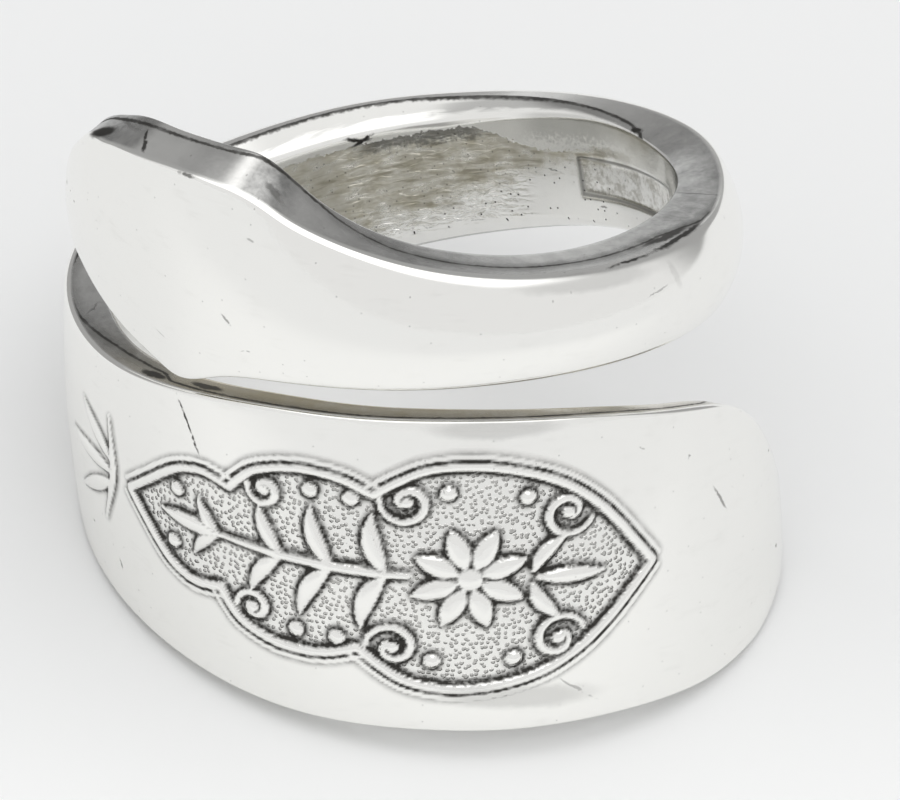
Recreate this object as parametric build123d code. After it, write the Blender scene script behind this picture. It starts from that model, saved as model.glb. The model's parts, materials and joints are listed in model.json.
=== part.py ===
# A ring made from the handle of a spoon, wound about one and a half turns round a finger.
#
# The handle is one strip of metal. Its wide patterned end lies low down in front. From there the strip runs
# to the left, climbs round the back, narrows to a thick neck on the right and comes round to the front once
# more, where it flares into a plain rounded end above the wide one. On the wide end a raised rim holds
# raised leaves, petals and scrolls, and a small shallow panel is sunk into the wall of the finger's hole.
#
# The ring is made upright about the finger's axis. It is then leaned over as far as it leans by itself on
# a flat surface, and set down with the middle of its underside at the origin. +Z is up, lengths are in
# millimetres and angles in degrees.
import os
from collections import namedtuple
from math import asin, cos, degrees, hypot, pi, radians, sin, sqrt

from build123d import *

# Driving dimensions of the strip
finger_radius = 9.0  # the hole that the finger goes in
strip_length = 91.6  # from tip to tip, along the middle
widest_half = 5.35  # half the width of the wide end
thickest = 2.1  # the neck, at the edges of the strip
turn_gap = 0.566  # between the flared end and the wide end below it
tip_angle = -1.216  # where the wide end's tip lies round the finger, from +X
tip_flare = 1.94  # how far the wide end's tip stands off the finger
flare_length = 26.97  # stretch of the wide end over which it comes to stand off
end_lift = 0.18  # how far the flared end's tip stands off the finger
end_lift_length = 9.6  # stretch of the flared end over which it comes to stand off
neck_crown = 0.42  # how much higher the neck's outer face is along its middle than at its edges
outer_round = 0.34  # largest rounding of the outer edges
inner_bevel = 0.40  # largest bevel of the inner edges, up the side
bevel_share = 0.45  # how far the bevel goes over the inner face, as a share of that
bore_stock = 0.25  # metal inside the finger's radius, which the bore takes away
stock_start = 0.45  # where that metal starts and is whole, as shares of the flare's length
stock_whole = 0.75
bend_depth = 0.38  # depth at which the strip keeps its length when it is bent, as a share of the thickest

# The strip's sections in order from the wide end's tip, as shares of the sizes above: place along the
# length, half width, thickness at the edges, crown, shift of the middle towards the upper edge, rounding of
# the outer edges and bevel of the inner ones, and how far the upper side's inner edge lies beyond its outer
# edge, as a share of the widest half width
Section = namedtuple("Section", "place half_width thickness crown shift outer inner lean")
SECTIONS = (
    Section(0.0005, 0.283, 0.38, 0.10, -0.254, 0.4, 0.3, 0.0),
    Section(0.004, 0.331, 0.39, 0.14, -0.2625, 0.4, 0.3, 0.0),
    Section(0.0101, 0.410, 0.41, 0.20, -0.231, 0.4, 0.3, 0.0),
    Section(0.0181, 0.519, 0.42, 0.25, -0.187, 0.4, 0.3, 0.0),
    Section(0.0282, 0.646, 0.425, 0.28, -0.139, 0.4, 0.3, 0.0),
    Section(0.0402, 0.755, 0.43, 0.31, -0.087, 0.4, 0.3, 0.0),
    Section(0.0553, 0.8415, 0.43, 0.35, -0.0555, 0.4, 0.3, 0.0),
    Section(0.0754, 0.896, 0.435, 0.37, -0.032, 0.4, 0.3, 0.0),
    Section(0.1005, 0.947, 0.445, 0.38, -0.006, 0.4, 0.3, 0.0),
    Section(0.1307, 0.988, 0.46, 0.38, 0.0, 0.4, 0.3, 0.0),
    Section(0.1609, 1.0, 0.475, 0.38, -0.006, 0.4, 0.3, 0.0),
    Section(0.191, 0.993, 0.50, 0.38, -0.029, 0.4, 0.3, 0.0),
    Section(0.2212, 0.958, 0.525, 0.38, -0.041, 0.4, 0.3, 0.0),
    Section(0.2514, 0.8815, 0.555, 0.39, -0.057, 0.4, 0.4, 0.0),
    Section(0.2916, 0.772, 0.61, 0.42, -0.072, 0.4, 0.45, 0.0),
    Section(0.3368, 0.688, 0.665, 0.46, -0.044, 0.5, 0.5, 0.0),
    Section(0.3871, 0.620, 0.66, 0.50, -0.0195, 0.6, 0.8, 0.0),
    Section(0.4223, 0.570, 0.62, 0.55, -0.024, 0.7, 0.9, 0.0),
    Section(0.458, 0.5196, 0.58, 0.60, -0.0262, 0.8, 1.0, 0.0),
    Section(0.4977, 0.4925, 0.56, 0.67, -0.0234, 0.8, 1.0, 0.0),
    Section(0.5379, 0.450, 0.57, 0.75, -0.0154, 0.8, 1.0, 0.0),
    Section(0.5717, 0.411, 0.60, 0.83, 0.0092, 0.7, 1.0, 0.0),
    Section(0.5993, 0.3804, 0.63, 0.90, 0.029, 0.6, 0.9, -0.02),
    Section(0.6264, 0.3551, 0.65, 1.0, 0.0374, 0.4, 0.7, -0.06),
    Section(0.6586, 0.3364, 0.68, 1.12, 0.0336, 0.3, 0.5, -0.084),
    Section(0.6938, 0.3115, 0.77, 1.12, -0.001, 0.3, 0.3, -0.02),
    Section(0.728, 0.3019, 0.93, 1.05, -0.0215, 0.4, 0.3, 0.0),
    Section(0.7616, 0.3075, 0.99, 1.0, -0.0402, 0.6, 0.3, 0.0),
    Section(0.7943, 0.3215, 1.0, 0.95, -0.0486, 0.8, 0.3, 0.0),
    Section(0.8245, 0.3589, 0.995, 0.85, -0.043, 0.9, 0.3, 0.0),
    Section(0.8496, 0.4131, 0.955, 0.75, -0.0224, 0.8, 0.3, 0.0),
    Section(0.8721, 0.4785, 0.895, 0.65, 0.0075, 0.65, 0.3, 0.0355),
    Section(0.8841, 0.5243, 0.86, 0.60, 0.0271, 0.55, 0.3, 0.0785),
    Section(0.8939, 0.5757, 0.825, 0.56, 0.0467, 0.45, 0.3, 0.1065),
    Section(0.902, 0.615, 0.795, 0.53, 0.0374, 0.4, 0.3, 0.123),
    Section(0.91, 0.6533, 0.77, 0.51, 0.0047, 0.35, 0.3, 0.116),
    Section(0.918, 0.675, 0.745, 0.50, -0.015, 0.3, 0.3, 0.103),
    Section(0.9279, 0.6533, 0.71, 0.48, -0.0065, 0.3, 0.3, 0.101),
    Section(0.9379, 0.6206, 0.68, 0.47, -0.0019, 0.3, 0.3, 0.110),
    Section(0.9489, 0.5822, 0.645, 0.45, -0.0028, 0.3, 0.3, 0.125),
    Section(0.9588, 0.5374, 0.61, 0.44, -0.0140, 0.3, 0.3, 0.1308),
    Section(0.9652, 0.5131, 0.59, 0.43, -0.0159, 0.3, 0.3, 0.1047),
    Section(0.9708, 0.4916, 0.57, 0.42, -0.0206, 0.3, 0.3, 0.0822),
    Section(0.9763, 0.4477, 0.55, 0.39, -0.0514, 0.3, 0.3, 0.1028),
    Section(0.9811, 0.4009, 0.535, 0.36, -0.0907, 0.3, 0.3, 0.1346),
    Section(0.9864, 0.3542, 0.52, 0.33, -0.1355, 0.3, 0.3, 0.1495),
    Section(0.9904, 0.3131, 0.505, 0.29, -0.1729, 0.3, 0.3, 0.1402),
    Section(0.9938, 0.2686, 0.495, 0.25, -0.2024, 0.3, 0.3, 0.1121),
    Section(0.9965, 0.2056, 0.485, 0.20, -0.2243, 0.3, 0.3, 0.0748),
    Section(0.9984, 0.1243, 0.475, 0.13, -0.2645, 0.3, 0.3, 0.0374),
    Section(0.9996, 0.0467, 0.47, 0.06, -0.2897, 0.3, 0.3, 0.0),
)

# Driving dimensions of the relief on the wide end
panel_start = 7.97  # from the wide end's tip to the panel's point
panel_length = 17.0
panel_half = 3.8  # half the width of the panel at its fullest
relief_height = 0.15  # how far the relief stands up from the face
relief_root = 0.12  # how far it is rooted below the face
rim_width = 0.42
scroll_width = 0.34
crest_bar_width = 0.32
top_share = 0.55  # width of a raised line on top, as a share of its width at the face
flower_place = 0.335  # the flower's middle, as a share of the panel's length
flower_radius = 1.75
petal_count = 8
petal_width = 0.72
heart_radius = 0.42  # the knob in the middle of the flower
berry_radius = 0.26
crest_gap = 1.3  # from the panel's far end to the small crest behind it
crest_half = 1.9
crest_leaf_length = 2.9
crest_leaf_width = 0.55
crest_side_heading = 32.0  # how far the outer two of its leaves lean out
crest_side_share = 0.85  # their length, as a share of the middle one's

# Half of the panel's rim: three bows that meet in cusps, in shares of the panel's length and half width
RimPoint = namedtuple("RimPoint", "along across")
FULL_BOW = (
    RimPoint(0.0, 0.0),
    RimPoint(0.04, 0.22),
    RimPoint(0.11, 0.58),
    RimPoint(0.20, 0.86),
    RimPoint(0.32, 1.0),
    RimPoint(0.43, 0.95),
    RimPoint(0.515, 0.70),
)
MIDDLE_BOW = (
    RimPoint(0.515, 0.70),
    RimPoint(0.57, 0.80),
    RimPoint(0.65, 0.82),
    RimPoint(0.73, 0.70),
    RimPoint(0.775, 0.47),
)
END_BOW = (
    RimPoint(0.775, 0.47),
    RimPoint(0.83, 0.52),
    RimPoint(0.89, 0.43),
    RimPoint(0.95, 0.20),
    RimPoint(1.0, 0.0),
)

# Leaves on one hand of the panel's middle line: the root's place in shares of the panel's length and half
# width, the way that the leaf points, from straight along the strip, and its length and width in mm
Leaf = namedtuple("Leaf", "along across heading length width")
LEAVES = (
    Leaf(0.225, 0.06, 118.0, 1.5, 0.55),
    Leaf(0.480, 0.02, 62.0, 2.0, 0.66),
    Leaf(0.575, 0.02, 55.0, 2.0, 0.62),
    Leaf(0.665, 0.02, 48.0, 1.7, 0.56),
    Leaf(0.790, 0.02, 38.0, 1.25, 0.46),
)

# Leaves that lie on the middle line
MIDDLE_LEAVES = (
    Leaf(0.215, 0.0, 180.0, 2.1, 0.62),
    Leaf(0.790, 0.0, 0.0, 2.2, 0.62),
)

# The stem between them
StemPoint = namedtuple("StemPoint", "along across width")
STEM = (
    StemPoint(0.440, 0.0, 0.30),
    StemPoint(0.560, 0.0, 0.42),
    StemPoint(0.680, 0.0, 0.36),
    StemPoint(0.800, 0.0, 0.22),
)

# Scrolls, likewise: the eye's place, the radius of the curl in mm, the way from the eye to the tail's end,
# and which way round the line curls in
Scroll = namedtuple("Scroll", "along across radius heading sense")
SCROLLS = (
    Scroll(0.170, 0.56, 0.62, 200.0, 1),
    Scroll(0.455, 0.66, 0.60, 5.0, -1),
    Scroll(0.708, 0.55, 0.42, 10.0, -1),
)

# Berries, likewise
Berry = namedtuple("Berry", "along across")
BERRIES = (
    Berry(0.245, 0.72),
    Berry(0.385, 0.76),
    Berry(0.552, 0.64),
    Berry(0.625, 0.65),
    Berry(0.885, 0.25),
)

# A leaf's width from its root to its point, and a scroll's course from its tail to its eye
LeafWidth = namedtuple("LeafWidth", "run width")
LEAF_SWELL = (
    LeafWidth(0.0, 0.35),
    LeafWidth(0.3, 0.95),
    LeafWidth(0.55, 1.0),
    LeafWidth(0.8, 0.65),
    LeafWidth(1.0, 0.15),
)
scroll_steps = 8
scroll_sweep = 400.0  # how far the line of a scroll turns
scroll_tail = 1.35  # how far from the eye it starts and ends, as shares of the scroll's radius
scroll_eye = 0.35
scroll_thin = 0.65  # width at its ends, as a share of its width half way

# Driving dimensions of the sunk panel in the finger's hole
stamp_place = 59.3  # from the wide end's tip to the sunk panel's middle, along the strip
stamp_length = 4.2
stamp_width = 1.5
stamp_depth = 0.08

# How the resting ring is looked for
rest_mesh = 0.03  # fineness of the skin that may touch the surface
rest_mesh_turn = 0.4
rest_first_step = 0.2  # lean tried first, as a slope
rest_last_step = 0.0001

# Worked out from those
wrap_radius = finger_radius + bend_depth * thickest
turn_length = 2 * pi * wrap_radius


def share_at(column, place):
    """One column of the section table at a share of the length, in line between two rows."""
    for before, after in zip(SECTIONS, SECTIONS[1:]):
        if place <= after.place:
            run = (place - before.place) / (after.place - before.place)
            low, high = getattr(before, column), getattr(after, column)
            return low + (high - low) * run
    return getattr(SECTIONS[-1], column)


def turn_spacing():
    """How far apart the middles of two turns lie, so that the turns clear each other everywhere."""
    widest = 0.0
    one_turn = turn_length / strip_length
    for row in SECTIONS:
        below = row.place - one_turn
        if below >= 0:
            upper = row.half_width - row.shift
            lower = share_at("half_width", below) + share_at("shift", below)
            widest = max(widest, upper + lower)
    return widest_half * widest + turn_gap


lead_angle = degrees(asin(turn_spacing() / turn_length))
lead_cos = cos(radians(lead_angle))
lead_sin = sin(radians(lead_angle))


def end_share(place):
    """0 along most of the strip and 1 at the flared end's tip."""
    return max(0.0, 1.0 - (1.0 - place) * strip_length / end_lift_length)


def radial_lift(place):
    """How far the strip stands off the finger, at a share of its length."""
    off = max(0.0, 1.0 - place * strip_length / flare_length)
    return tip_flare * off * off + end_lift * end_share(place) ** 2


def stock_below(place):
    """Metal inside the finger's radius for the bore to take, none where the tips stand off."""
    run = (place * strip_length / flare_length - stock_start) / (stock_whole - stock_start)
    run = min(1.0, max(0.0, run))
    return bore_stock * run * run * (3 - 2 * run) * (1.0 - end_share(place))


def strip_frame(along):
    """A point under the strip's middle, at the finger's radius and lift, with the ways forward, across, out."""
    turned = radians(tip_angle) - along * lead_cos / wrap_radius
    out = Vector(cos(turned), sin(turned), 0)
    onward = Vector(sin(turned), -cos(turned), 0)
    up = Vector(0, 0, 1)
    forward = onward * lead_cos + up * lead_sin
    across = up * lead_cos - onward * lead_sin
    place = along / strip_length
    foot = out * (finger_radius + radial_lift(place)) + up * (along * lead_sin)
    foot = foot + across * (widest_half * share_at("shift", place))
    return foot, forward, across, out


def section_outline(row):
    """One closed outline across the strip, at its place on the helix."""
    half = widest_half * row.half_width
    thick = thickest * row.thickness
    top = thick + neck_crown * row.crown
    low = -stock_below(row.place)
    turn = min(outer_round * row.outer, 0.4 * thick, 0.4 * half)
    knee = turn * (1 - sqrt(0.5))
    bevel = min(inner_bevel * row.inner, 0.4 * thick, 0.4 * half)
    drop = bevel * bevel_share
    lean = widest_half * row.lean
    foot, _, across, out = strip_frame(row.place * strip_length)

    def at(side, depth):
        return foot + across * side + out * depth

    return Wire(
        (
            Line(at(drop - half, low), at(half + lean - drop, low)),
            Line(at(half + lean - drop, low), at(half + lean * (1 - bevel / thick), bevel)),
            Line(at(half + lean * (1 - bevel / thick), bevel), at(half, thick - turn)),
            ThreePointArc(at(half, thick - turn), at(half - knee, thick - knee), at(half - turn, thick)),
            ThreePointArc(at(half - turn, thick), at(0, top), at(turn - half, thick)),
            ThreePointArc(at(turn - half, thick), at(knee - half, thick - knee), at(-half, thick - turn)),
            Line(at(-half, thick - turn), at(-half, bevel)),
            Line(at(-half, bevel), at(drop - half, low)),
        )
    )


def round_the_finger(radius):
    """A cylinder about the finger's axis, longer than the ring."""
    spare = 2 * turn_length * lead_sin
    reach = strip_length * lead_sin + 2 * spare
    return Pos(0, 0, -spare) * Cylinder(radius, reach, align=(Align.CENTER, Align.CENTER, Align.MIN))


def bare_strip():
    """The strip without its relief, wound round the finger and bored to the finger's size."""
    blank = Solid.make_loft([section_outline(row) for row in SECTIONS])
    return blank - round_the_finger(finger_radius)


def face_frame(along, side):
    """A point on the outer face, with the ways forward, across and out there."""
    foot, forward, across, out = strip_frame(along)
    place = along / strip_length
    reach = side / (widest_half * share_at("half_width", place))
    height = thickest * share_at("thickness", place)
    height += neck_crown * share_at("crown", place) * (1 - reach * reach)
    return foot + across * side + out * height, forward, across, out


def raised_line(points, widths):
    """A raised line over the outer face, through points of the flat strip, each with its own width."""
    outlines = []
    for step, (along, side) in enumerate(points):
        before = points[max(0, step - 1)]
        after = points[min(len(points) - 1, step + 1)]
        run, climb = after[0] - before[0], after[1] - before[1]
        foot, forward, across, out = face_frame(along, side)
        beside = (across * run - forward * climb) / hypot(run, climb)
        wide = beside * (widths[step] / 2)
        narrow = wide * top_share
        root = foot - out * relief_root
        top = foot + out * relief_height
        corners = (root - wide, root + wide, top + narrow, top - narrow)
        outlines.append(Wire.make_polygon(corners, close=True))
    return Solid.make_loft(outlines)


def on_panel(place, hand):
    """A place on one hand of the panel, from shares of its length and half width to mm on the flat strip."""
    return panel_start + place.along * panel_length, hand * place.across * panel_half


def leaf(root, heading, length, width):
    """A leaf that swells from its root and narrows to its point."""
    run, climb = length * cos(radians(heading)), length * sin(radians(heading))
    points = [(root[0] + run * row.run, root[1] + climb * row.run) for row in LEAF_SWELL]
    return raised_line(points, [width * row.width for row in LEAF_SWELL])


def scroll(eye, radius, heading, sense):
    """A line that starts at its tail and curls in round an eye."""
    points = []
    widths = []
    for step in range(scroll_steps + 1):
        share = step / scroll_steps
        turned = radians(heading + sense * scroll_sweep * share)
        reach = radius * (scroll_tail + (scroll_eye - scroll_tail) * share)
        points.append((eye[0] + reach * cos(turned), eye[1] + reach * sin(turned)))
        widths.append(scroll_width * (scroll_thin + (1 - scroll_thin) * sin(pi * share)))
    return raised_line(points, widths)


def knob(place, radius):
    """A round boss that stands up from the outer face as high as the lines do."""
    foot, _, _, out = face_frame(*place)
    ball = (radius * radius + relief_height * relief_height) / (2 * relief_height)
    return Solid.make_sphere(ball).moved(Location(foot + out * (relief_height - ball)))


def one_hand(hand):
    """The rim, leaves, scrolls and berries on one hand of the panel's middle line."""
    pieces = []
    for bow in (FULL_BOW, MIDDLE_BOW, END_BOW):
        pieces.append(raised_line([on_panel(point, hand) for point in bow], [rim_width] * len(bow)))
    for row in LEAVES:
        pieces.append(leaf(on_panel(row, hand), hand * row.heading, row.length, row.width))
    for row in SCROLLS:
        pieces.append(scroll(on_panel(row, hand), row.radius, hand * row.heading, hand * row.sense))
    for row in BERRIES:
        pieces.append(knob(on_panel(row, hand), berry_radius))
    return pieces


def middle_line():
    """The stem and the leaves that lie on the panel's middle line."""
    pieces = [raised_line([on_panel(point, 1) for point in STEM], [point.width for point in STEM])]
    for row in MIDDLE_LEAVES:
        pieces.append(leaf(on_panel(row, 1), row.heading, row.length, row.width))
    return pieces


def flower():
    """Petals in a ring round a knob."""
    middle = panel_start + flower_place * panel_length
    pieces = [knob((middle, 0.0), heart_radius)]
    for count in range(petal_count):
        heading = 360 * (count + 0.5) / petal_count
        root = middle + heart_radius * cos(radians(heading)), heart_radius * sin(radians(heading))
        pieces.append(leaf(root, heading, flower_radius - heart_radius, petal_width))
    return pieces


def crest():
    """The small crest behind the panel: three leaves that stand on a bar."""
    start = panel_start + panel_length + crest_gap
    bar = [(start, crest_half), (start - crest_bar_width, 0.0), (start, -crest_half)]
    pieces = [raised_line(bar, [crest_bar_width / 2, crest_bar_width, crest_bar_width / 2])]
    for hand, share in ((0, 1.0), (1, crest_side_share), (-1, crest_side_share)):
        root = start - crest_bar_width, hand * crest_leaf_width * 0.6
        pieces.append(leaf(root, hand * crest_side_heading, crest_leaf_length * share, crest_leaf_width))
    return pieces


def stamp_cutter():
    """What is taken out of the wall of the finger's hole for the small sunk panel."""
    foot, forward, _, out = strip_frame(stamp_place)
    block = Plane(foot, x_dir=forward, z_dir=out) * Box(stamp_length, stamp_width, thickest)
    return block & round_the_finger(finger_radius + stamp_depth)


def way_up(ring, skin):
    """The way that points straight up once the ring has come to rest, from near the finger's axis.

    The ring rolls until its centre of mass is as low as it can be over the surface.
    """
    centre = ring.center(CenterOf.MASS)
    points = [centre - point for point in skin.tessellate(rest_mesh, rest_mesh_turn)[0] if point.Z < centre.Z]

    def centre_height(slope_x, slope_y):
        way = Vector(slope_x, slope_y, 1).normalized()
        return max(point.dot(way) for point in points)

    lean = (0.0, 0.0)
    height = centre_height(*lean)
    step = rest_first_step
    while step > rest_last_step:
        tries = [(lean[0] + step * run, lean[1] + step * climb) for run in (-1, 0, 1) for climb in (-1, 0, 1)]
        lowest, slopes = min((centre_height(*slopes), slopes) for slopes in tries)
        if lowest < height:
            height, lean = lowest, slopes
        else:
            step /= 2
    return Vector(*lean, 1).normalized()


def set_down(ring, up):
    """The ring turned so that its way up is +Z, with the middle of its underside at the origin."""
    ahead = Vector(1, 0, 0) - up * up.X
    stand = Plane((0, 0, 0), x_dir=ahead, z_dir=up)
    leaned = ring.moved(stand.location.inverse())
    box = leaned.bounding_box()
    return leaned.moved(Location((-box.center().X, -box.center().Y, -box.min.Z)))


strip = bare_strip()
relief = one_hand(1) + one_hand(-1) + middle_line() + flower() + crest()
upright = strip.fuse(*relief) - stamp_cutter()
ring_band = set_down(upright, way_up(upright, strip))

os.makedirs("parts", exist_ok=True)
export_step(ring_band, "parts/ring_band.step")
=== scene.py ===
import json
from collections import namedtuple
from functools import partial, reduce

import bpy
import numpy as np
from mathutils import Matrix, Vector


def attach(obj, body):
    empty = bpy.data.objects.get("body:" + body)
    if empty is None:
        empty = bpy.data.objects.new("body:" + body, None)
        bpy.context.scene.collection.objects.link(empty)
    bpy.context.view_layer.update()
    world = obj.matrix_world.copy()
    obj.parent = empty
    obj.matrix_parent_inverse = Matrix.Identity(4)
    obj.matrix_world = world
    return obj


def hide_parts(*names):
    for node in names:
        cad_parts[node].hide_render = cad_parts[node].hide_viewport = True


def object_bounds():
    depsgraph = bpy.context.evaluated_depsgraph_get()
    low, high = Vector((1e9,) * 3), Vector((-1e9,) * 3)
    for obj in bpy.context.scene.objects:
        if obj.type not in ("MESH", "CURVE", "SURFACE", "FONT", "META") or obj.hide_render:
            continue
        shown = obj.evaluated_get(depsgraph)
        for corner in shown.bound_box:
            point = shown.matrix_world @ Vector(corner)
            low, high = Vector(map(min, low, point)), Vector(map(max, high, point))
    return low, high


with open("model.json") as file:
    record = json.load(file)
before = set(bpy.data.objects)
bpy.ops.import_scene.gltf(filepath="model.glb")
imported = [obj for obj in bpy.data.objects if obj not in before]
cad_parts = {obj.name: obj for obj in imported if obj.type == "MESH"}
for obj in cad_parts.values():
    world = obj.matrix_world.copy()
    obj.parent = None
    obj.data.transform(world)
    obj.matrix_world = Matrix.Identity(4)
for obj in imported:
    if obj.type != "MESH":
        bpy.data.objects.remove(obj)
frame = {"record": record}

# A ring made from a spoon's handle, resting on a pale floor. Sizes are in millimetres in the ring's own
# upright frame, whose axis is the finger's, and are turned into the row's frame in metres at the end.
cad_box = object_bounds()
MM = 0.001


def rows_of(columns, rows):
    """Rows whose columns have names. The last column is 0 in a row that leaves it out."""
    row = namedtuple("Row", columns, defaults=(0.0,))
    return tuple(row(*values) for values in rows)


# Sizes of the strip
hole = frame["record"]["mounts"][0]
finger_radius = hole["dims"]["r_mm"]
strip_length = 91.6
widest_half = 5.35
thickest = 2.1
turn_rise_angle = 8.1794  # degrees that the strip climbs
tip_angle = -1.216
tip_flare = 1.94
flare_length = 26.97
end_lift = 0.18  # how far the flared end's tip stands off the finger
end_lift_length = 9.6
neck_crown = 0.42
outer_round = 0.34
inner_drop = 0.45  # how far a small inner rounding runs down the wall, as a share of its depth
inner_spread = 1.6  # how much further it runs for each millimetre of depth
edge_share = 0.4  # most of the thickness or half width that the rounding of an edge takes
wear_share = 0.55  # most of the thickness that the worn inner edge takes
bevel_from, bevel_span = 0.15, 0.35  # depths of wear over which its rounding turns into a bevel
bevel_flatness = 0.95
bend_depth = 0.38
hole_middle = 6.6798  # height of the middle of the finger's hole over the wide tip's middle

# The strip's sections in order from the wide end's tip, as shares of the sizes above: place along the
# length, half width, thickness at the edges, crown, shift of the middle, outer rounding, and how far the
# upper side's inner edge lies above its outer edge
SECTIONS = rows_of("place half_width thickness crown shift outer lean", (
    (0.0005, 0.283, 0.38, 0.1, -0.254, 0.4),
    (0.004, 0.331, 0.39, 0.14, -0.2625, 0.4),
    (0.0101, 0.41, 0.41, 0.2, -0.231, 0.4),
    (0.0181, 0.519, 0.42, 0.25, -0.187, 0.4),
    (0.0282, 0.646, 0.425, 0.28, -0.139, 0.4),
    (0.0402, 0.755, 0.43, 0.31, -0.087, 0.4),
    (0.0553, 0.8415, 0.43, 0.35, -0.0555, 0.4),
    (0.0754, 0.896, 0.435, 0.37, -0.032, 0.4),
    (0.1005, 0.947, 0.445, 0.38, -0.006, 0.4),
    (0.1307, 0.988, 0.46, 0.38, 0.0, 0.4),
    (0.1609, 1.0, 0.475, 0.38, -0.006, 0.4),
    (0.191, 0.993, 0.5, 0.38, -0.029, 0.4),
    (0.2212, 0.958, 0.525, 0.38, -0.041, 0.4),
    (0.2514, 0.8815, 0.555, 0.39, -0.057, 0.4),
    (0.2916, 0.772, 0.61, 0.42, -0.072, 0.4),
    (0.3368, 0.688, 0.665, 0.46, -0.044, 0.5),
    (0.3871, 0.62, 0.66, 0.5, -0.0195, 0.6),
    (0.4223, 0.57, 0.62, 0.55, -0.024, 0.7),
    (0.458, 0.5196, 0.58, 0.6, -0.0262, 0.8),
    (0.4977, 0.4925, 0.56, 0.67, -0.0234, 0.8),
    (0.5379, 0.45, 0.57, 0.75, -0.0154, 0.8),
    (0.5717, 0.411, 0.6, 0.83, 0.0092, 0.7),
    (0.5993, 0.3804, 0.63, 0.9, 0.029, 0.6, -0.02),
    (0.6264, 0.3551, 0.65, 1.0, 0.0374, 0.4, -0.06),
    (0.6586, 0.3364, 0.68, 1.12, 0.0336, 0.3, -0.084),
    (0.6938, 0.3115, 0.77, 1.12, -0.001, 0.3, -0.02),
    (0.728, 0.3019, 0.93, 1.05, -0.0215, 0.4),
    (0.7616, 0.3075, 0.99, 1.0, -0.0402, 0.6),
    (0.7943, 0.3215, 1.0, 0.95, -0.0486, 0.8),
    (0.8245, 0.3589, 0.995, 0.85, -0.043, 0.9),
    (0.8496, 0.4131, 0.955, 0.75, -0.0224, 0.8),
    (0.8721, 0.4785, 0.895, 0.65, 0.0075, 0.65, 0.0355),
    (0.8841, 0.5243, 0.86, 0.6, 0.0271, 0.55, 0.0785),
    (0.8939, 0.5757, 0.825, 0.56, 0.0467, 0.45, 0.1065),
    (0.902, 0.615, 0.795, 0.53, 0.0374, 0.4, 0.123),
    (0.91, 0.6533, 0.77, 0.51, 0.0047, 0.35, 0.116),
    (0.918, 0.675, 0.745, 0.5, -0.015, 0.3, 0.103),
    (0.9279, 0.6533, 0.71, 0.48, -0.0065, 0.3, 0.101),
    (0.9379, 0.6206, 0.68, 0.47, -0.0019, 0.3, 0.11),
    (0.9489, 0.5822, 0.645, 0.45, -0.0028, 0.3, 0.125),
    (0.9588, 0.5374, 0.61, 0.44, -0.014, 0.3, 0.1308),
    (0.9652, 0.5131, 0.59, 0.43, -0.0159, 0.3, 0.1047),
    (0.9708, 0.4916, 0.57, 0.42, -0.0206, 0.3, 0.0822),
    (0.9763, 0.4477, 0.55, 0.39, -0.0514, 0.3, 0.1028),
    (0.9811, 0.4009, 0.535, 0.36, -0.0907, 0.3, 0.1346),
    (0.9864, 0.3542, 0.52, 0.33, -0.1355, 0.3, 0.1495),
    (0.9904, 0.3131, 0.505, 0.29, -0.1729, 0.3, 0.1402),
    (0.9938, 0.2686, 0.495, 0.25, -0.2024, 0.3, 0.1121),
    (0.9965, 0.2056, 0.485, 0.2, -0.2243, 0.3, 0.0748),
    (0.9984, 0.1243, 0.475, 0.13, -0.2645, 0.3, 0.0374),
    (0.9996, 0.0467, 0.47, 0.06, -0.2897, 0.3),
))

# How deep the edge towards the finger is worn round, in millimetres, by place along the length
INNER_WEAR = rows_of("place depth", (
    (0.0, 0.12), (0.26, 0.14), (0.32, 0.25), (0.4, 0.45), (0.45, 0.6), (0.53, 0.56), (0.57, 0.42),
    (0.6, 0.28), (0.63, 0.14), (0.66, 0.12),
))

# Depth of the dark line along the upper side, a line of tarnish in a band of painted shade, by place along
# the length; a break in it is a depth below zero
CREASE = rows_of("place depth", (
    (0.04, -0.3), (0.06, 0.5), (0.1, 0.6), (0.16, 0.74), (0.22, 0.84), (0.262, 0.8), (0.268, 0.5),
    (0.283, 0.48), (0.298, 0.6), (0.322, 1.11), (0.345, 1.3), (0.4, 0.75), (0.45, 0.62),
    (0.52, 0.6), (0.553, 0.48), (0.588, 0.33), (0.617, 0.22), (0.626, 0.06), (0.635, -0.3),
    (0.7, -0.3), (0.702, 1.7), (0.727, 1.56), (0.735, 1.29), (0.745, 1.1), (0.775, 1.12),
    (0.81, 1.08), (0.833, 0.97), (0.85, 0.82), (0.862, 0.54), (0.877, 0.18), (0.886, 0.1),
    (0.9, 0.14), (0.91, 0.24), (0.95, 0.28), (0.985, 0.26), (1.0, -0.3),
))

# The panel and its relief
panel_start = 7.97
panel_length = 17.0
panel_half = 3.8
relief_height = 0.15
ground_depth = 0.07
rim_width = 0.36
rim_gap = 0.33
rim_line = 0.20
scroll_width = 0.34
crest_bar_width = 0.40
flower_place = 0.335
flower_radius = 1.75
petal_count = 8
petal_width = 0.72
heart_radius = 0.42
berry_radius = 0.26
crest_gap = 1.3
crest_half = 1.9
crest_leaf_length = 2.9
crest_leaf_width = 0.55
crest_side_heading = 32.0
crest_side_share = 0.85
crest_bar_end = 0.16
crest_leaf_spread = 0.6
leaf_bend = 24.0  # degrees
scroll_knob = 0.2
rim_every = 5  # the relief's rim follows every fifth point of its outline

# Heights as shares of the relief's own, and the veins cut into its leaves
rim_line_height = 0.6
form_height = 0.95
crest_height = 0.9
heart_height = 1.15
leaf_vein = 0.4
petal_vein = 0.35
vein_half = 0.07
vein_least = 0.12  # half width of a leaf that a vein needs

# How dark the hollows between the raised forms have gone
hollow_depth = 0.038  # millimetres under the blurred relief
hollow_start = 0.08
ground_dark = 0.07
form_blur = 2  # grid steps
height_blur = 1.4

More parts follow.
